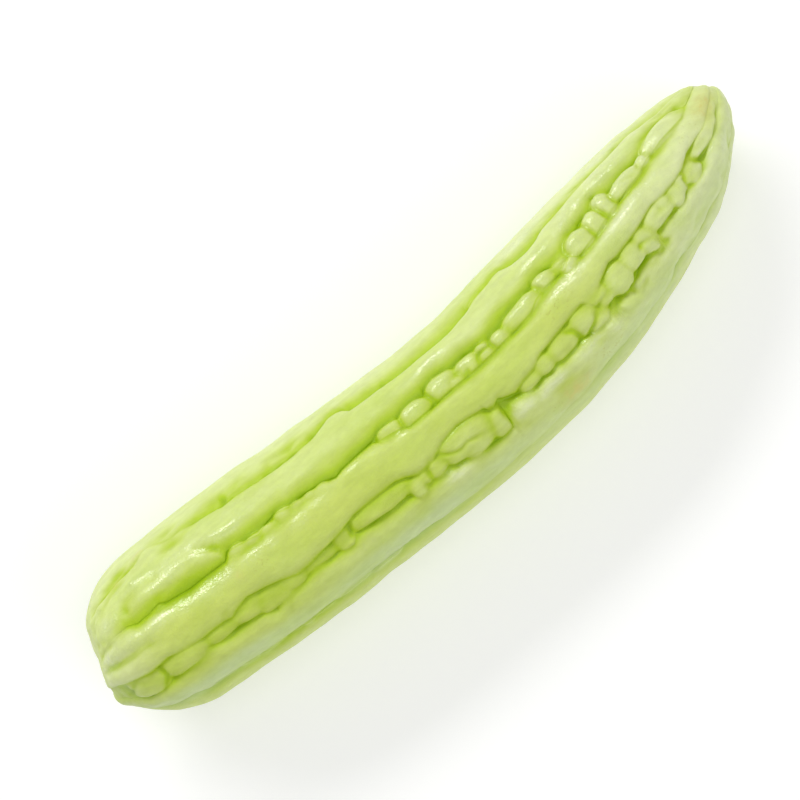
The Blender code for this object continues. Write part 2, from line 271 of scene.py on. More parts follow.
SWELLS = (
    (90, 5, 45, 9, 0.4), (180, 5, 45, 9, 0.35), (34, 61, 4, 3, 0.7), (48, 60, 14, 3.2, 0.2),
    (164, 48, 8, 3, 0.35), (212, 46, 6, 4, 0.3), (226, 47, 5, 3, 0.25), (250, 42, 10, 3, 0.3),
    (122, 53, 14, 4, 0.25), (100, 48, 12, 5, -0.25), (140, 50, 9, 4, -0.2), (176, 48, 9, 4, 0.25),
    (194, 52, 8, 4, -0.2), (108, 82, 6, 3, 0.25), (88, 84, 4, 2.5, 0.25), (99, 83, 4, 2.5, 0.25),
    (123, 77, 4, 2, 0.25), (142, 78, 3, 2, 0.3), (215, 83.5, 8, 3.5, 0.5), (243, 82, 14, 3, 0.35),
    (95, 92, 6, 6, -0.3), (132, 90, 10, 5, -0.25), (155, 88, 9, 4, -0.3), (172, 90, 8, 4, 0.25),
    (190, 88, 9, 4, -0.25), (262, 82, 9, 4, -0.25), (280, 82, 8, 5, 0.3), (226, 88, 9, 4, -0.2),
    (148, 124, 6, 1.8, 0.5), (177, 116, 5, 1.6, 0.7), (188, 118.5, 6, 1.6, 0.7),
    (203.5, 119.5, 6, 1.8, 0.8), (214, 124, 5, 1.8, 0.7), (259, 118.5, 9, 2.6, 0.8),
    (280, 122, 6, 3.4, 0.8), (120, 120, 12, 3, 0.3), (66, 124, 12, 4, 0.25),
    (196, 137, 12, 6, -0.3), (150, 135, 14, 6, -0.25), (232, 134, 10, 6, 0.25),
    (100, 134, 12, 6, 0.2),
)

# --- Ends (mm) ---

# Broad changes of shape: x, y, z of the middle, radius, height.
END_SWELLS = (
    (-135, 14, 33, 10, -3.9),       # the stem end is drawn in under the left shoulder
    (-140, 7, 19, 8, -4.2),         # and round the stem scar
    (-138, -1.5, 27, 6, 2.0),       # but the lip on its right stands out
    (128, 0, 22, 10, -0.8),         # the blossom end is slimmer on its right
)
# Scars round the poles.  The stem's is a stump with a rim, and the blossom's a pit with a point.
STEM_SCAR_RADIUS, STEM_SCAR_HEIGHT, STEM_SCAR_EDGE = 3.4, 1.2, 0.3
STEM_RIM_INSET, STEM_RIM_WIDTH, STEM_RIM_HEIGHT = 0.7, 0.6, 0.35
STEM_STAIN_RADIUS, STEM_STAIN_EDGE = 3.8, 0.35
BLOSSOM_SCAR_RADIUS, BLOSSOM_SCAR_DEPTH, BLOSSOM_STAIN = 2.6, 0.7, 0.8
BLOSSOM_POINT_RADIUS, BLOSSOM_POINT_HEIGHT = 0.9, 0.3

# --- Mesh ---

RINGS = 508
# Mesh intervals across each ridge and the furrow after it, round from the left flank's start.
RIDGE_INTERVALS = (20, 22, 21, 20, 10, 9, 9, 9, 9)
FURROW_INTERVALS = (3, 13, 18, 3, 6, 6, 6, 6, 6)
STEM_RINGS, STEM_LENGTH = 20, 8.0  # closer rings over the stem scar
TIP_RINGS, TIP_LENGTH = 12, 5.0  # and over the blossom pole

# Section of each ridge at these places along it: where its crest lies across it (0 to 1), then
# how square the side before the crest is and the side after it.  In turn: left flank, left
# shoulder, crown, right shoulder, right flank and the four hidden ridges.
SECTION_PLACES = (70.0, 115.0, 160.0, 220.0)
RIDGE_SECTIONS = (
    2 * ((0.50, 2.0, 1.5),) + 2 * ((0.50, 2.0, 1.6),),
    ((0.38, 3.2, 1.6), (0.38, 3.6, 1.6), (0.40, 3.6, 1.7), (0.40, 3.6, 1.7)),
    ((0.50, 1.6, 4.0), (0.42, 3.2, 4.0), (0.46, 2.9, 3.6), (0.52, 1.55, 3.6)),
    2 * ((0.40, 2.0, 2.4),) + 2 * ((0.42, 2.2, 2.4),),
    4 * ((0.50, 2.2, 2.0),),
) + 4 * (4 * ((0.50, 2.2, 2.2),),)
CREST_MARGIN = 0.15  # least share of a ridge on each side of its crest
EDGE_STEEPNESS = 0.35  # how much steeper a squarer side ends
STEADY_RINGS = 14  # over which a ridge's top ignores its edges' wiggles
# How far each furrow's lime and painted shade spread over the skin: mm before it, mm after it,
# strength.
FURROW_SPREADS = ((2.7, 0.8, 0.6), (4.5, 0.8, 0.6), (1.0, 1.5, 0.35), (1.0, 3.5, 0.5)) + (
    5 * ((2.5, 2.5, 0.4),))
FLOOR_SAG = 0.25  # a furrow's floor is this much deeper at its middle
WART_OUTLINE, WART_STEEPNESS = 2.45, 2.1
# How flat each furrow's warts are on top: 2 is round.
WART_DOMES = (2.4, 2.0, 2.6) + 6 * (2.2,)
# How far each furrow's warts reach past their outlines (mm): endways, to the left, to the right.
WART_GROWTHS = ((0.5, 0.5, 0.5), (0.95, 0.4, 1.3), (1.2, 1.2, 0.4)) + 6 * ((0.5, 0.5, 0.5),)
# How much each furrow's warts lean: height of their left edge against their middle (mm).
WART_LEANS = (0.0, 0.6, -0.45) + 6 * (0.0,)

HIDDEN_WART_LENGTHS = (4.0, 17.0)
HIDDEN_WART_TOPS = (-1.5, -0.3)
HIDDEN_WART_GAPS = (-1.6, 0.8)
HIDDEN_WART_SIDES = (-2.6, 1.2)  # degrees past the furrow's edges
HIDDEN_WARTS_FROM, HIDDEN_WARTS_TO, HIDDEN_WARTS_SHIFT = 34.0, 278.0, (0.0, 4.0)

FOLD_END_DEPTH = 0.35  # share of a fold's depth that is left at its ends
FOLD_TAPER, FOLD_TAPER_SHARE = 1.5, 0.25  # it tapers over this many mm, or share of its length

# How the outlines of warts, folds and patches wander (mm), and where the two noises are read.
WARP_SCALE, WARP_SIZE, WARP_OFFSETS = 7.0, 0.75, (11.3, 57.9)
# Unevenness of the skin: scale and height in mm, and below 1 how far it is drawn out lengthwise.
UNEVENNESS = ((13.0, 0.30, 1.0), (5.5, 0.25, 0.6), (2.3, 0.17, 0.35))
# Where the skin is more wrinkled: u, angle, radius along, radius round (mm), how much more.
WRINKLES = (
    (46, 42, 22, 9, 1.6), (62, 30, 34, 8, 1.5), (24, 80, 12, 40, 0.6), (120, 30, 14, 6, 0.8),
    (282, 100, 20, 60, 0.8), (250, 34, 40, 9, 0.6), (235, 130, 34, 9, 1.2), (85, 74, 26, 4, 0.9),
    (72, 166, 40, 8, 0.9), (245, 162, 40, 9, 1.3), (120, 128, 60, 6, 0.7), (55, 128, 26, 8, 0.6),
)
UNEVENNESS_FADE = 20.0  # mm from each pole over which it sets in
SMOOTHING_PASSES = 1  # round the sharpest creases a little
# How far the skin counts as sunk, which greens and darkens it: partly its own lime, partly painted
# shade in creases and hollows.
SUNK_DEEPEST, SUNK_SHARE = 2.9, ((190, 0.95), (245, 0.62))  # share at u
CAVITY_DEEPEST, CAVITY_SHARE, CAVITY_PASSES, CAVITY_LIMITS = 0.7, 0.35, 14, (-0.5, 1.0)
DRY_WART_HEIGHT = 0.8  # above a furrow's floor: from here a wart loses its lime and painted shade
SEED = 7


# --- Body sweep ---

def smooth_curve(knots, values, at):
    """Cubic curve through values given at the knots, read at the places in at."""
    steps = np.diff(knots)[:, None]
    slopes = np.diff(values, axis=0) / steps
    tangents = np.empty_like(values)
    tangents[1:-1] = (slopes[:-1] * steps[1:] + slopes[1:] * steps[:-1]) / (steps[1:] + steps[:-1])
    tangents[0], tangents[-1] = slopes[0], slopes[-1]
    span = np.clip(np.searchsorted(knots, at) - 1, 0, len(steps) - 1)
    width = steps[span]
    t = (at - knots[span])[:, None] / width
    return ((1 + 2 * t) * (1 - t) ** 2 * values[span]
            + t * (1 - t) ** 2 * width * tangents[span]
            + t ** 2 * (3 - 2 * t) * values[span + 1]
            + t ** 2 * (t - 1) * width * tangents[span + 1])


class Sweep:
    """The smooth body that the ridge crests touch, measured along its skin."""

    SAMPLES = 4000
    POLE_CLUSTERING = 0.92

    def __init__(self, stations):
        centres, radii = stations[:, :3], stations[:, 3]
        spans = np.linalg.norm(np.diff(centres, axis=0), axis=1)
        knots = np.concatenate(([0.0], np.cumsum(spans)))
        q = np.linspace(0.0, 1.0, self.SAMPLES)
        along = knots[-1] * (q - self.POLE_CLUSTERING * np.sin(2 * np.pi * q) / (2 * np.pi))
        self.centre = smooth_curve(knots, centres, along)
        squared = smooth_curve(knots, radii[:, None] ** 2, along)[:, 0]
        self.radius = np.sqrt(np.clip(squared, 0.0, None))
        self.skin = np.concatenate(([0.0], np.cumsum(np.hypot(np.diff(along), np.diff(self.radius)))))
        self.length = self.skin[-1]
        tangent = np.gradient(self.centre, along, axis=0)
        self.tangent = tangent / np.linalg.norm(tangent, axis=1)[:, None]
        forward, outward = np.gradient(along, self.skin), np.gradient(self.radius, self.skin)
        size = np.hypot(forward, outward)
        self.forward, self.outward = forward / size, outward / size

    def read(self, table, u):
        if table.ndim == 1:
            return np.interp(u, self.skin, table)
        return np.stack([np.interp(u, self.skin, column) for column in table.T], axis=-1)

    def points(self, u, angle, height):
        """Points height above the body, at skin distance u and angle (radians) round it."""
        tangent = self.read(self.tangent, u)
        tangent /= np.linalg.norm(tangent, axis=-1, keepdims=True)
        side = np.cross((0.0, 0.0, 1.0), tangent)
        side /= np.linalg.norm(side, axis=-1, keepdims=True)
        up = np.cross(tangent, side)
        radial = np.cos(angle)[..., None] * side + np.sin(angle)[..., None] * up
        normal = self.read(self.forward, u)[..., None] * radial
        normal -= self.read(self.outward, u)[..., None] * tangent
        return (self.read(self.centre, u) + self.read(self.radius, u)[..., None] * radial
                + height[..., None] * normal)


# --- Edges of the ridges ---

def read_line(points, u):
    """Value at u of a line given by (u, value) points, held constant past its ends."""
    distances, values = zip(*points)
    return np.interp(u, distances, values)


def wavy_line(angle, u, random_source):
    """An edge at a constant angle, made to wander as the others do."""
    line = np.full_like(u, float(angle))
    for wavelength, swing in EDGE_WAVES:
        phase = random_source.uniform(0.0, 2.0 * math.pi)
        line += swing * np.sin(2.0 * np.pi * u / wavelength + phase)
    return line


def ridge_edges(u, random_source):
    """Start and end angle of each ridge in turn, from the left flank on over the top."""
    start = wavy_line(FLANK_LEFT_START_ANGLE - 360, u, random_source)
    shoulder_left_start = read_line(SHOULDER_LEFT_START, u)
    shoulder_right_end = read_line(SHOULDER_RIGHT_END, u)
    edges = [
        start, shoulder_left_start - LEAST_FURROW,
        shoulder_left_start, read_line(SHOULDER_LEFT_END, u),
        read_line(CROWN_START, u), read_line(CROWN_END, u),
        read_line(SHOULDER_RIGHT_START, u), shoulder_right_end,
        shoulder_right_end + LEAST_FURROW, wavy_line(FLANK_RIGHT_END_ANGLE, u, random_source),
    ]
    for first, last in HIDDEN_RIDGES:
        edges.append(wavy_line(first, u, random_source))
        edges.append(wavy_line(last, u, random_source))
    for after_end in range(2, len(edges), 2):
        edges[after_end] = np.maximum(edges[after_end], edges[after_end - 1] + LEAST_FURROW)
    edges.append(start + 360.0)
    return edges


def ring_places(length):
    """Distance u of each ring of the mesh, with closer rings at both poles."""
    shares = (0.0, STEM_RINGS / RINGS, 1.0 - TIP_RINGS / RINGS, 1.0)
    places = (0.0, STEM_LENGTH, length - TIP_LENGTH, length)
    return np.interp(np.linspace(0.0, 1.0, RINGS + 1), shares, places)


class Skin:
    """Grid of skin points, rings by columns, whose height is worked out step by step."""

    def __init__(self, sweep, random_source):
        self.sweep = sweep
        self.ring_u = ring_places(sweep.length)
        self.edges = ridge_edges(self.ring_u, random_source)
        self.depths = [read_line(table, self.ring_u) for table in FURROW_DEPTHS]
        strips, furrows = [], []
        for number in range(len(RIDGE_SECTIONS)):
            strips += [self.ridge_strip(number), self.furrow_strip(number)]
            furrows += RIDGE_INTERVALS[number] * [-1] + FURROW_INTERVALS[number] * [number]
        self.angle, self.height, self.spread = (
            np.concatenate(grids, axis=1) for grids in zip(*strips))
        self.furrow = np.array(furrows)
        self.columns = len(furrows)
        self.u = np.repeat(self.ring_u[:, None], self.columns, axis=1)
        self.radius = sweep.read(sweep.radius, self.u)
        self.body = sweep.points(self.u, np.radians(self.angle), np.zeros_like(self.u))
        self.warp_along, self.warp_round = (
            WARP_SIZE * self.noise_field(WARP_SCALE, offset) for offset in WARP_OFFSETS)

    def ridge_strip(self, number):
        """Angle, height and spread of lime and painted shade over one ridge's columns."""
        start, end = self.edges[2 * number:2 * number + 2]
        depths = self.depths[number - 1], self.depths[number]
        section = [np.interp(self.ring_u, SECTION_PLACES, values)
                   for values in zip(*RIDGE_SECTIONS[number])]
        steps = RIDGE_INTERVALS[number]
        across = 0.5 - 0.5 * np.cos(np.pi * np.arange(steps) / steps)
        angle = start[:, None] + across * (end - start)[:, None]
        height = [ridge_height(column, start, end, section, *depths) for column in angle.T]
        degree = math.radians(1.0) * self.sweep.read(self.sweep.radius, self.ring_u)[:, None]
        from_start = degree * (angle - start[:, None])
        from_end = degree * (end[:, None] - angle)
        spread = np.maximum(lime_and_shade_spread(from_start, number - 1, 1, depths[0]),
                            lime_and_shade_spread(from_end, number, 0, depths[1]))
        return angle, np.stack(height, axis=1), spread

    def furrow_strip(self, number):
        """The same over the columns of the furrow after that ridge."""
        first, last = self.edges[2 * number + 1:2 * number + 3]
        steps = FURROW_INTERVALS[number]
        share = np.arange(steps) / steps
        angle = first[:, None] + share * (last - first)[:, None]
        depth = self.depths[number][:, None]
        sag = FLOOR_SAG * np.clip(depth, 0.0, 1.0) * np.sin(np.pi * share)
        return angle, -(depth + sag), lime_and_shade_spread(np.zeros_like(angle), number, 0, depth[:, 0])

    def noise_field(self, scale, offset, lengthwise=1.0):
        """Smooth noise from -1 to 1 over the skin, with features about scale mm wide."""
        flat = (self.body * (lengthwise / scale, 1.0 / scale, 1.0 / scale) + offset).reshape(-1, 3)
        values = np.fromiter((noise.noise(Vector(point)) for point in flat), float, len(flat))
        return values.reshape(self.u.shape)

    def offsets(self, u, angle):
        """Distances in mm along and round the skin from one place to every grid point."""
        turn = (self.angle - angle + 180.0) % 360.0 - 180.0
        return self.u - u + self.warp_along, self.radius * np.radians(turn) + self.warp_round

    def add_wart(self, furrow, start_u, end_u, start_angle, end_angle, top):
        """A rounded wart that stands up from a furrow's floor."""
        middle_u, middle_angle = 0.5 * (start_u + end_u), 0.5 * (start_angle + end_angle)
        body_radius = float(self.sweep.read(self.sweep.radius, middle_u))
        endways, left, right = WART_GROWTHS[furrow]
        half_length = 0.5 * (end_u - start_u) + endways
        half_width = 0.5 * (body_radius * math.radians(end_angle - start_angle) + left + right)
        along, round_body = self.offsets(middle_u, middle_angle)
        round_body = round_body - 0.5 * (right - left)
        reach = (np.abs(along / half_length) ** WART_OUTLINE
                 + np.abs(round_body / half_width) ** WART_OUTLINE) ** (1.0 / WART_OUTLINE)
        dome = np.clip(1.0 - reach ** WART_DOMES[furrow], 0.0, 1.0) ** (1.0 / WART_STEEPNESS)
        floor = -self.depths[furrow][:, None]
        lean = -WART_LEANS[furrow] * np.clip(round_body / half_width, -1.0, 1.0)
        raised = floor + (np.maximum(top + lean, floor) - floor) * dome
        self.height = np.maximum(self.height, np.where(reach < 1.0, raised, self.height))

    def add_fold(self, points, half_width, depth):
        """A crease along a line of points, or a raised welt if depth is below zero."""
        nearest = np.full(self.u.shape, np.inf)
        place = np.zeros(self.u.shape)
        lengths = [0.0]
        for (u0, angle0), (u1, angle1) in zip(points, points[1:]):
            body_radius = float(self.sweep.read(self.sweep.radius, 0.5 * (u0 + u1)))
            run, rise = u1 - u0, body_radius * math.radians(angle1 - angle0)
            length = math.hypot(run, rise)
            along, round_body = self.offsets(u0, angle0)
            share = np.clip((along * run + round_body * rise) / length ** 2, 0.0, 1.0)
            distance = np.hypot(along - share * run, round_body - share * rise)
            closer = distance < nearest
            nearest = np.where(closer, distance, nearest)
            place = np.where(closer, lengths[-1] + share * length, place)
            lengths.append(lengths[-1] + length)
        from_end = np.minimum(place, lengths[-1] - place)
        fade = max(FOLD_TAPER, FOLD_TAPER_SHARE * lengths[-1])
        taper = np.clip(FOLD_END_DEPTH + from_end / fade, 0.0, 1.0)
        self.height -= depth * taper * np.exp(-(nearest / half_width) ** 2)

    def patch(self, u, angle, radius_along, radius_round, edge=2):
        """1 at one place on the skin, fading to 0 round it; a higher edge ends it more sharply."""
        along, round_body = self.offsets(u, angle)
        return np.exp(-np.hypot(along / radius_along, round_body / radius_round) ** edge)

    def add_noise(self):
        from_pole = np.minimum(self.u, self.sweep.length - self.u)
        share = np.clip(from_pole / UNEVENNESS_FADE, 0.0, 1.0)
        for *place, more in WRINKLES:
            share = share + more * share * self.patch(*place)
        for scale, size, lengthwise in UNEVENNESS:
            self.height += size * share * self.noise_field(scale, scale, lengthwise)

    def find_sunk(self):
        """How deep and how closed in each place lies, which makes the skin greener and darker: partly
        its own lime, partly painted shade in creases and hollows.
        """
        share = np.interp(self.u, *zip(*SUNK_SHARE))
        depth = share * -self.height / SUNK_DEEPEST
        cavity = (smoothed(self.height, CAVITY_PASSES) - self.height) / CAVITY_DEEPEST
        floor = np.where(self.furrow < 0, 0.0, np.stack(self.depths, axis=1)[:, self.furrow])
        on_wart = np.where(self.furrow < 0, 0.0, np.clip(floor + self.height - DRY_WART_HEIGHT, 0, 1))
        self.sunk = np.maximum(np.clip(depth, 0.0, 1.0), share * self.spread * (1.0 - on_wart))
        self.sunk += CAVITY_SHARE * np.clip(cavity, *CAVITY_LIMITS)

    def add_ends(self):
        """Shape of both ends, with the stem scar at one pole and a small scar at the other."""
        for *middle, radius, height in END_SWELLS:
            distance = np.linalg.norm(self.body - middle, axis=-1)
            self.height += height * np.exp(-(distance / radius) ** 2)
        rim = (self.u - STEM_SCAR_RADIUS + STEM_RIM_INSET) / STEM_RIM_WIDTH
        self.height += STEM_SCAR_HEIGHT * within(STEM_SCAR_RADIUS, self.u, STEM_SCAR_EDGE)
        self.height += STEM_RIM_HEIGHT * np.exp(-rim ** 2)
        from_tip = self.sweep.length - self.u
        self.height -= BLOSSOM_SCAR_DEPTH * np.exp(-(from_tip / BLOSSOM_SCAR_RADIUS) ** 4)
        self.height += BLOSSOM_POINT_HEIGHT * np.exp(-(from_tip / BLOSSOM_POINT_RADIUS) ** 2)

    def points(self):
        points = self.sweep.points(self.u, np.radians(self.angle), self.height)
        points[..., :2] += FOOTPRINT_SHIFT
        points[..., 2] = np.maximum(points[..., 2], 0.0)
        return points * MM


def within(radius, distance, edge):
    """1 inside the radius and 0 outside it, with a soft edge."""
    return 0.5 - 0.5 * np.tanh(0.5 * (distance - radius) / edge)


def smoothed(grid, passes):
    """A grid of rings by columns with each value blended into its neighbours."""
    for _ in range(passes):
        round_body = 0.25 * np.roll(grid, 1, axis=1) + 0.5 * grid + 0.25 * np.roll(grid, -1, axis=1)
        inner = 0.25 * round_body[:-2] + 0.5 * round_body[1:-1] + 0.25 * round_body[2:]
        grid = np.concatenate((round_body[:1], inner, round_body[-1:]))
    return grid


def steadied(line):
    """A line without its short wiggles."""
    weights = np.hanning(2 * STEADY_RINGS + 1)
    padded = np.pad(line, STEADY_RINGS, mode="edge")
    return np.convolve(padded, weights / weights.sum(), mode="valid")


def ridge_height(angle, start, end, section, depth_before, depth_after):
    """Height over a ridge; the furrows beside it set its depth.

    Only the slopes next to a ridge's edges follow their wiggles, so that its top runs straight on.
    """
    crest_share, square_before, square_after = section
    steady_start, steady_end = steadied(start), steadied(end)
    margin = CREST_MARGIN * (end - start)
    crest = steady_start + crest_share * (steady_end - steady_start)
    crest = np.clip(crest, start + margin, end - margin)
    before = angle < crest
    square = np.where(before, square_before, square_after)
    depth = np.where(before, depth_before, depth_after)
    close = (angle - crest) / (np.where(before, start, end) - crest)
    steady = (angle - crest) / (np.where(before, steady_start, steady_end) - crest)
    from_crest = np.clip(steady + close ** 3 * (close - steady), 0.0, 1.0)
    steepness = 1.0 + EDGE_STEEPNESS * (square - 1.0)
    return depth * ((1.0 - from_crest ** square) ** (1.0 / steepness) - 1.0)


def lime_and_shade_spread(distance, furrow, side, depth):
    """How much lime and painted shade spread from a furrow, at a distance in mm before it (0) or
    after it (1).
    """
    *widths, strength = FURROW_SPREADS[furrow]
    fade = np.clip(depth, 0.0, 1.0)[:, None]
    return strength * fade * np.exp(-(distance / widths[side]) ** 2)


def hidden_warts(ring_u, first, last, random_source):
    """Warts by rule between a furrow's two edges: (u, u, angle, angle, top)."""
    warts = []
    u = HIDDEN_WARTS_FROM + random_source.uniform(*HIDDEN_WARTS_SHIFT)
    while u < HIDDEN_WARTS_TO:
        length = random_source.uniform(*HIDDEN_WART_LENGTHS)
        start, end = (np.interp(u + 0.5 * length, ring_u, edge) for edge in (first, last))
        start -= random_source.uniform(*HIDDEN_WART_SIDES)
        end += random_source.uniform(*HIDDEN_WART_SIDES)
        warts.append((u, u + length, start, end, random_source.uniform(*HIDDEN_WART_TOPS)))
        u += length + random_source.uniform(*HIDDEN_WART_GAPS)
    return warts


def shape_skin():
    random_source = random.Random(SEED)
    noise.seed_set(SEED)
    skin = Skin(Sweep(STATIONS), random_source)
    drawn_warts = (WARTS_LEFT, WARTS_CROWN_LEFT, WARTS_CROWN_RIGHT)
    for furrow in range(len(RIDGE_SECTIONS)):
        if furrow < len(drawn_warts):
            warts = drawn_warts[furrow]
        else:
            first, last = skin.edges[2 * furrow + 1:2 * furrow + 3]
            warts = hidden_warts(skin.ring_u, first, last, random_source)
        for wart in warts:
            skin.add_wart(furrow, *wart)
    for half_width, depth, *points in FOLDS:
        skin.add_fold(points, half_width, depth)
    for *place, height in SWELLS:
        skin.height += height * skin.patch(*place)
    skin.add_noise()
    skin.height = smoothed(skin.height, SMOOTHING_PASSES)
    skin.find_sunk()
    skin.add_ends()
    return skin


# --- Colours of the skin ---

CREST_COLOUR = (209, 225, 126)  # 8-bit sRGB, as all colours below
SLOPE_COLOUR = (199, 217, 97)
# The wall and crease colours are partly the furrows' own lime, partly painted shade.
WALL_COLOUR = (180, 208, 38)
CREASE_COLOUR = (156, 191, 0)
# Pale skin, also used for painted highlights and painted light.
PALE_AND_HIGHLIGHT_COLOUR = (229, 238, 179)
SALLOW_COLOUR = (203, 218, 94)
# Greyish band on the right shoulder's lower side: painted sheen of reflected white surroundings, with
# some greyish bloom.
BLOOM_AND_SHEEN_COLOUR = (204, 221, 154)
TAN_COLOUR = (216, 206, 116)
FRECKLE_COLOUR = (172, 168, 66)
SCAR_COLOUR = (134, 116, 70)

# The dry skin is rather matt, and the coat over its moist places gleams.
SKIN_SHADER = {
    "Specular IOR Level": 0.3, "Coat Roughness": 0.24, "Coat IOR": 1.8, "Subsurface Weight": 0.25,
    "Subsurface Radius": (1.0, 1.0, 0.35), "Subsurface Scale": 0.0015,
}
# How sunk the skin is where the lime reaches its next colour; the deeper, darker colours are partly
# painted shade.
SUNK_COLOURS = (
    (0.0, CREST_COLOUR), (0.25, SLOPE_COLOUR), (0.6, WALL_COLOUR), (1.0, CREASE_COLOUR),
)
# Ramps over the sunk mask: from, to, value before, value after.
OPEN_SKIN = (0.0, 0.45, 1.0, 0.0)
ABOVE_LIME = (0.55, 0.85, 1.0, 0.0)
# Noise over a surface: scale (per m), detail, stretch (1 is none), then its ramp as above.
NOISES = {
    "greener": (110.0, 3.0, 0.5, 0.45, 0.75, 0.0, 0.3),
    "mottle": (420.0, 3.0, 0.7, 0.3, 0.7, 0.95, 1.02),
    "veins": (550.0, 3.0, 0.18, 0.35, 0.65, 0.965, 1.015),
    "tan": (420.0, 2.0, 1.0, 0.45, 0.6, 0.55, 1.0),
    "freckle": (950.0, 1.0, 1.0, 0.6, 0.68, 0.0, 1.0),
    "scar": (700.0, 3.0, 1.0, 0.35, 0.65, 0.6, 1.0),
    "roughness": (330.0, 3.0, 1.0, 0.3, 0.7, 0.38, 0.52),
    "moist": (1100.0, 2.0, 1.0, 0.35, 0.6, 0.4, 1.0),
    "floor": (3.0, 2.0, 1.0, 0.3, 0.7, 0.80, 0.82),
}
# Bumps: scale (per m), detail, stretch, strength, height (m).
BUMPS = (
    (650.0, 3.0, 0.35, 0.28, 0.0005), (420.0, 3.0, 1.0, 0.3, 0.0006),
    (1700.0, 1.0, 1.0, 0.25, 0.0003),
)

# Where the skin is tinted or moist: u, angle, radius along, radius round (mm), strength.
TINTS = {
    # pale: partly paler skin on the crests, the left flank and the blossom end, partly painted
    # highlights along the crown's left edge, on the right shoulder's upper edge and on the left
    # flank, and painted light that brightens the blossom end's right side.
    "pale_and_highlight": (
        (40, 20, 80, 12, 0.5), (130, 12, 90, 12, 0.6), (245, 18, 60, 14, 1.0), (70, 50, 52, 7, 0.3),
        (180, 52, 40, 7, 0.35), (30, 80, 12, 6, 0.5), (270, 60, 34, 12, 0.7),
        (276, 90, 40, 12, 1.0), (225, 47, 20, 5, 0.3), (272, 132, 44, 18, 1.0),
        (150, 125, 6, 3, 0.5), (232, 90, 12, 6, 0.3), (215, 138, 46, 12, 0.4), (28, 91, 13, 8, 1.0),
        (36, 82, 9, 3, 0.6), (50, 82, 12, 3, 0.6), (65, 84.5, 9, 4, 1.0), (215, 80, 9, 4, 0.8),
        (238, 80.5, 16, 4, 0.9), (50, 53, 12, 4, 0.3), (262, 20, 30, 12, 1.0),
        (258, 146, 26, 13, 1.0), (236, 153, 14, 6, 0.5), (100, 128, 30, 4, 0.15),
        (33, 58, 5, 4, 0.5), (148, 123.5, 5, 1.6, 0.8), (177, 118, 5, 1.6, 0.9),
        (188, 121.5, 6, 1.6, 0.9), (203.5, 123.5, 7, 1.8, 0.6), (214, 127, 5, 1.8, 0.8),
        (216, 24, 10, 3, 1.0),
    ),
    "sallow": (
        (60, 93, 34, 7, 0.7), (115, 91, 34, 8, 0.7), (165, 90, 34, 8, 0.45), (205, 88, 20, 6, 0.6),
        (290, 92, 12, 8, 0.3), (70, 113, 62, 5, 0.5), (60, 127, 40, 4, 0.6),
    ),
    # bloom: painted sheen of reflected white surroundings on the right shoulder's lower side, with
    # some greyish bloom.
    "bloom_and_sheen": (
        (55, 141, 45, 5.4, 1.0), (130, 141.5, 50, 5.6, 1.0), (215, 147, 60, 7, 0.7),
        (18, 128, 12, 12, 0.3), (265, 144, 30, 9, 0.5),
    ),
    "tan": (
        (192, 138, 6, 4, 0.65), (289.5, 86.5, 5, 3, 0.8), (75.5, 89.5, 1.5, 1.5, 0.4),
        (52, 31, 2.2, 1.2, 0.35), (42, 36, 2.5, 1.2, 0.3),
    ),
    "freckle": (
        (205, 84, 6, 4, 0.35), (83, 91.5, 5, 3.5, 0.25), (208, 135, 6, 4, 0.3),
        (184, 139, 2, 2, 0.4), (276, 86, 8, 4, 0.2),
    ),
    "moist": (
        (36, 81, 6, 2.2, 1.0), (48, 81, 8, 2.4, 1.0), (61, 82, 9, 2.6, 1.0),
        (70, 82.5, 5, 2.6, 1.0), (82, 83.5, 4, 1.5, 0.9), (89, 84, 3, 1.4, 0.9),
        (99.5, 82.8, 4, 1.5, 0.9), (109, 81, 4, 1.4, 0.6), (122.7, 75, 3, 1.5, 0.8),
        (143, 76.5, 3, 1.5, 0.9), (215, 79, 9, 3, 1.0), (243, 77.5, 14, 2.4, 1.0),
        (34, 58.5, 3, 2, 1.0), (56, 61.4, 7, 1.8, 1.0), (68.7, 60.9, 3.5, 1.8, 1.0),
        (49.7, 50.5, 6, 1.4, 0.9), (61, 53.5, 7, 1.3, 0.9), (79, 60.5, 6, 1.8, 1.0),
        (164, 50.3, 7, 1.7, 0.9), (213, 48, 6, 2.4, 1.0), (228, 48.5, 5, 2.8, 0.9),
        (233, 43.5, 5, 2.4, 0.9), (250, 42.5, 10, 2.8, 0.9), (148, 121.5, 5, 3, 1.0),
        (177, 116, 6, 3.4, 1.0), (188, 119, 7, 3.4, 1.0), (203.5, 120, 7, 3.8, 1.0),
        (214, 124.5, 5, 3.4, 1.0), (259.5, 118.5, 10, 1.7, 0.6), (27, 79, 7, 3, 0.9),
        (280, 121.5, 7, 2.8, 0.6), (216, 23.5, 12, 2.4, 0.9), (255, 24, 12, 2.4, 0.8),
        (150, 67, 6, 3, 0.6), (161, 66, 7, 3, 0.6), (173, 67, 5, 3, 0.6), (186, 70, 4, 3, 0.6),
        (200, 67, 9, 3, 0.6), (209, 66, 4, 3, 0.6), (219, 71, 4, 3, 0.6), (225.6, 65, 6, 4, 0.75),
        (235, 62, 4, 4, 0.7), (241, 59, 3, 4, 0.75), (249, 61, 8, 3, 0.7), (262, 61, 3, 3, 0.7),
        (269, 59, 10, 3.5, 0.7), (225, 104, 6, 4, 0.4), (155, 102, 8, 3, 0.3),
    ),
}
TINT_EDGES = {"moist": 4, "bloom_and_sheen": 3}  # how sharply a tint's patches end, if not 2

# --- Studio (metres) ---

CAMERA_PLACE = (-0.00625, 0.01024, 0.75162)
CAMERA_ROLL = math.radians(-41.72)
CAMERA_LENS, CAMERA_SENSOR = 100.0, 36.0  # mm

FLOOR_SIZE = 6.0
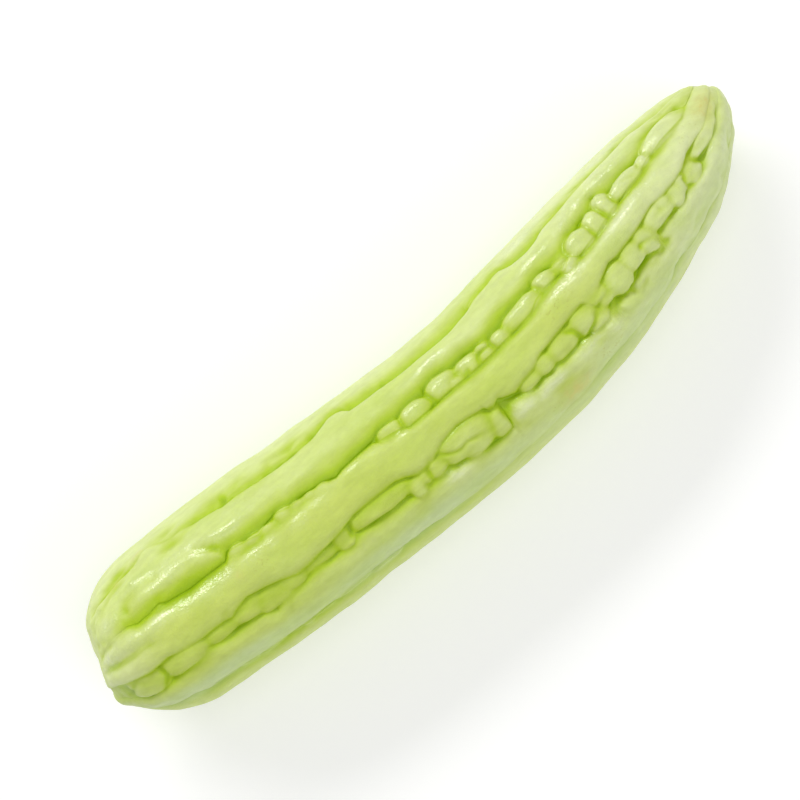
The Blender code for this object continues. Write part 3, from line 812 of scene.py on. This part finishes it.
# The floor glows a little, so that it looks white.
FLOOR_SHADER = {
    "Roughness": 0.9, "Emission Color": (1.0, 1.0, 1.0, 1.0), "Emission Strength": 0.30,
}
WORLD_LIGHT = 0.36
# Area lights: place, width and height, watts.  Each points at the middle of the gourd.
LIGHTS = {
    "key": ((-0.05, 1.30, 0.95), (1.30, 0.34), 12.5),
    "top": ((0.00, 0.00, 1.60), (1.20, 1.20), 5.8),
    "fill": ((0.60, -1.35, 1.10), (1.60, 1.60), 7.9),
}


def srgb(colour):
    """Linear RGBA from 8-bit sRGB."""
    linear = [c / 12.92 if c <= 0.04045 else ((c + 0.055) / 1.055) ** 2.4
              for c in (value / 255.0 for value in colour)]
    return (*linear, 1.0)


class Nodes:
    """Short calls for building a material's node tree."""

    def __init__(self, material):
        material.use_nodes = True
        self.tree = material.node_tree
        self.shader = self.tree.nodes["Principled BSDF"]

    def add(self, kind, **settings):
        node = self.tree.nodes.new(kind)
        for name, value in settings.items():
            setattr(node, name, value)
        return node

    def feed(self, value, socket):
        """Link an output to a socket, or set the socket to a plain value."""
        if isinstance(value, bpy.types.NodeSocket):
            self.tree.links.new(value, socket)
        else:
            socket.default_value = value

    def feed_inputs(self, node, values):
        for name, value in values.items():
            self.feed(value, node.inputs[name])

    def attribute(self, name):
        return self.add("ShaderNodeAttribute", attribute_name=name).outputs["Fac"]

    def noise(self, scale, detail, stretch):
        """Noise over the surface; a stretch below 1 draws it out along the gourd."""
        place = self.add("ShaderNodeTexCoord").outputs["Object"]
        mapping = self.add("ShaderNodeMapping")
        self.feed_inputs(mapping, {"Vector": place, "Scale": (stretch, 1.0, 1.0)})
        place = mapping.outputs["Vector"]
        texture = self.add("ShaderNodeTexNoise")
        self.feed_inputs(texture, {"Vector": place, "Scale": scale, "Detail": detail})
        return texture.outputs["Fac"]

    def ramp(self, factor, stops):
        """Colour ramp; stops are (place, linear colour)."""
        node = self.add("ShaderNodeValToRGB")
        elements = node.color_ramp.elements
        while len(elements) < len(stops):
            elements.new(0.5)
        for element, (place, colour) in zip(elements, stops):
            element.position = place
            element.color = colour
        self.feed(factor, node.inputs["Fac"])
        return node.outputs["Color"]

    def grey_ramp(self, factor, low, high, low_value, high_value):
        low_grey, high_grey = (low_value,) * 3 + (1.0,), (high_value,) * 3 + (1.0,)
        return self.ramp(factor, ((low, low_grey), (high, high_grey)))

    def patchy(self, name):
        """A grey that varies over the surface as the named noise says."""
        scale, detail, stretch, *greys = NOISES[name]
        return self.grey_ramp(self.noise(scale, detail, stretch), *greys)

    def mix(self, factor, first, second, blend="MIX"):
        node = self.add("ShaderNodeMix", data_type="RGBA", blend_type=blend)
        colours = [socket for socket in node.inputs if socket.type == "RGBA"]
        for value, socket in zip((factor, first, second), [node.inputs["Factor"]] + colours):
            self.feed(value, socket)
        return next(socket for socket in node.outputs if socket.type == "RGBA")

    def multiply(self, first, second):
        node = self.add("ShaderNodeMath", operation="MULTIPLY")
        for value, socket in zip((first, second), node.inputs):
            self.feed(value, socket)
        return node.outputs["Value"]

    def bump(self, height, strength, distance, under):
        node = self.add("ShaderNodeBump")
        self.feed_inputs(node, {"Height": height, "Strength": strength, "Distance": distance})
        if under is not None:
            self.feed(under, node.inputs["Normal"])
        return node.outputs["Normal"]


def skin_colour(nodes):
    """Pale on the crests and lime in the furrows, darker there in part as painted shade, with the
    tints over that; some tints hold painted highlights, light and sheen.
    """
    sunk = nodes.attribute("sunk")
    colour = nodes.ramp(sunk, [(place, srgb(lime)) for place, lime in SUNK_COLOURS])
    open_skin = nodes.grey_ramp(sunk, *OPEN_SKIN)
    for tint, tinted in (("pale_and_highlight", PALE_AND_HIGHLIGHT_COLOUR), ("sallow", SALLOW_COLOUR)):
        share = nodes.multiply(nodes.attribute(tint), open_skin)
        colour = nodes.mix(share, colour, srgb(tinted))
    colour = nodes.mix(nodes.attribute("bloom_and_sheen"), colour, srgb(BLOOM_AND_SHEEN_COLOUR))
    colour = nodes.mix(nodes.patchy("greener"), colour, srgb(WALL_COLOUR))
    for shading in ("mottle", "veins"):
        colour = nodes.mix(1.0, colour, nodes.patchy(shading), "MULTIPLY")
    for tint, tinted in (("tan", TAN_COLOUR), ("freckle", FRECKLE_COLOUR), ("scar", SCAR_COLOUR)):
        share = nodes.multiply(nodes.attribute(tint), nodes.patchy(tint))
        colour = nodes.mix(share, colour, srgb(tinted))
    return colour


def skin_material():
    """Waxy, slightly translucent skin that is moist in places."""
    material = bpy.data.materials.new("gourd_skin")
    nodes = Nodes(material)
    above = nodes.grey_ramp(nodes.attribute("sunk"), *ABOVE_LIME)
    moist = nodes.multiply(nodes.multiply(nodes.attribute("moist"), above), nodes.patchy("moist"))
    normal = None
    for *texture, strength, height in BUMPS:
        normal = nodes.bump(nodes.noise(*texture), strength, height, under=normal)
    nodes.feed_inputs(nodes.shader, {
        **SKIN_SHADER, "Base Color": skin_colour(nodes), "Roughness": nodes.patchy("roughness"),
        "Coat Weight": moist, "Normal": normal, "Coat Normal": normal,
    })
    return material


def floor_material():
    material = bpy.data.materials.new("studio_floor")
    nodes = Nodes(material)
    nodes.feed_inputs(nodes.shader, {**FLOOR_SHADER, "Base Color": nodes.patchy("floor")})
    return material


# --- The piece ---

def skin_tints(skin):
    """The named masks that the skin's material reads, over the grid."""
    tints = {"sunk": skin.sunk}
    for name, patches in TINTS.items():
        mask = np.zeros_like(skin.u)
        for *place, strength in patches:
            patch = strength * skin.patch(*place, edge=TINT_EDGES.get(name, 2))
            mask = np.maximum(mask, patch)
        tints[name] = mask
    from_tip = skin.sweep.length - skin.u
    blossom = BLOSSOM_STAIN * np.exp(-(from_tip / BLOSSOM_SCAR_RADIUS) ** 2)
    tints["scar"] = np.maximum(within(STEM_STAIN_RADIUS, skin.u, STEM_STAIN_EDGE), blossom)
    return tints


def place_object(name, data, location=(0.0, 0.0, 0.0)):
    placed = bpy.data.objects.new(name, data)
    placed.location = location
    bpy.context.scene.collection.objects.link(placed)
    return placed


def make_gourd():
    """A sphere whose poles become the stem and blossom ends, moved onto the skin's grid."""
    skin = shape_skin()
    bm = bmesh.new()
    bmesh.ops.create_uvsphere(bm, u_segments=skin.columns, v_segments=RINGS, radius=1.0)
    mesh = bpy.data.meshes.new("gourd")
    bm.to_mesh(mesh)
    bm.free()
    sphere = np.empty(len(mesh.vertices) * 3)
    mesh.vertices.foreach_get("co", sphere)
    sphere = sphere.reshape(-1, 3)
    ring = np.rint(np.arccos(np.clip(-sphere[:, 2], -1.0, 1.0)) / np.pi * RINGS).astype(int)
    turn = np.arctan2(sphere[:, 1], sphere[:, 0]) / (2.0 * np.pi)
    column = np.rint(turn * skin.columns).astype(int) % skin.columns
    mesh.vertices.foreach_set("co", skin.points()[ring, column].ravel())
    for name, mask in skin_tints(skin).items():
        values = np.clip(mask[ring, column], 0.0, 1.0).astype(np.float32)
        mesh.attributes.new(name, "FLOAT", "POINT").data.foreach_set("value", values)
    mesh.update()
    mesh.shade_smooth()
    mesh.materials.append(skin_material())
    return place_object("gourd", mesh)


def make_floor(level):
    bpy.ops.mesh.primitive_plane_add(size=FLOOR_SIZE, location=(0.0, 0.0, level))
    floor = bpy.context.object
    floor.name = "floor"
    floor.data.materials.append(floor_material())
    return floor


def make_camera():
    data = bpy.data.cameras.new("camera")
    data.lens = CAMERA_LENS
    data.sensor_width = CAMERA_SENSOR
    camera = place_object("camera", data, CAMERA_PLACE)
    camera.rotation_euler = (0.0, 0.0, CAMERA_ROLL)
    bpy.context.scene.camera = camera


def make_lights(target):
    for name, (place, (width, height), watts) in LIGHTS.items():
        data = bpy.data.lights.new(name, "AREA")
        data.shape = "ELLIPSE"
        data.size, data.size_y = width, height
        data.energy = watts
        light = place_object(name, data, place)
        light.rotation_euler = (target - light.location).to_track_quat("-Z", "Y").to_euler()
    world = bpy.data.worlds.new("studio")
    world.use_nodes = True
    background = world.node_tree.nodes["Background"]
    background.inputs["Color"].default_value = (1.0, 1.0, 1.0, 1.0)
    background.inputs["Strength"].default_value = WORLD_LIGHT
    bpy.context.scene.world = world


low, high = (Vector(corner) for corner in cad_box)
make_camera()
make_lights((low + high) / 2.0)
make_floor(low.z)

gourd = make_gourd()
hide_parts(NODE)
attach(gourd, "root")

bpy.context.scene.view_settings.view_transform = "Standard"
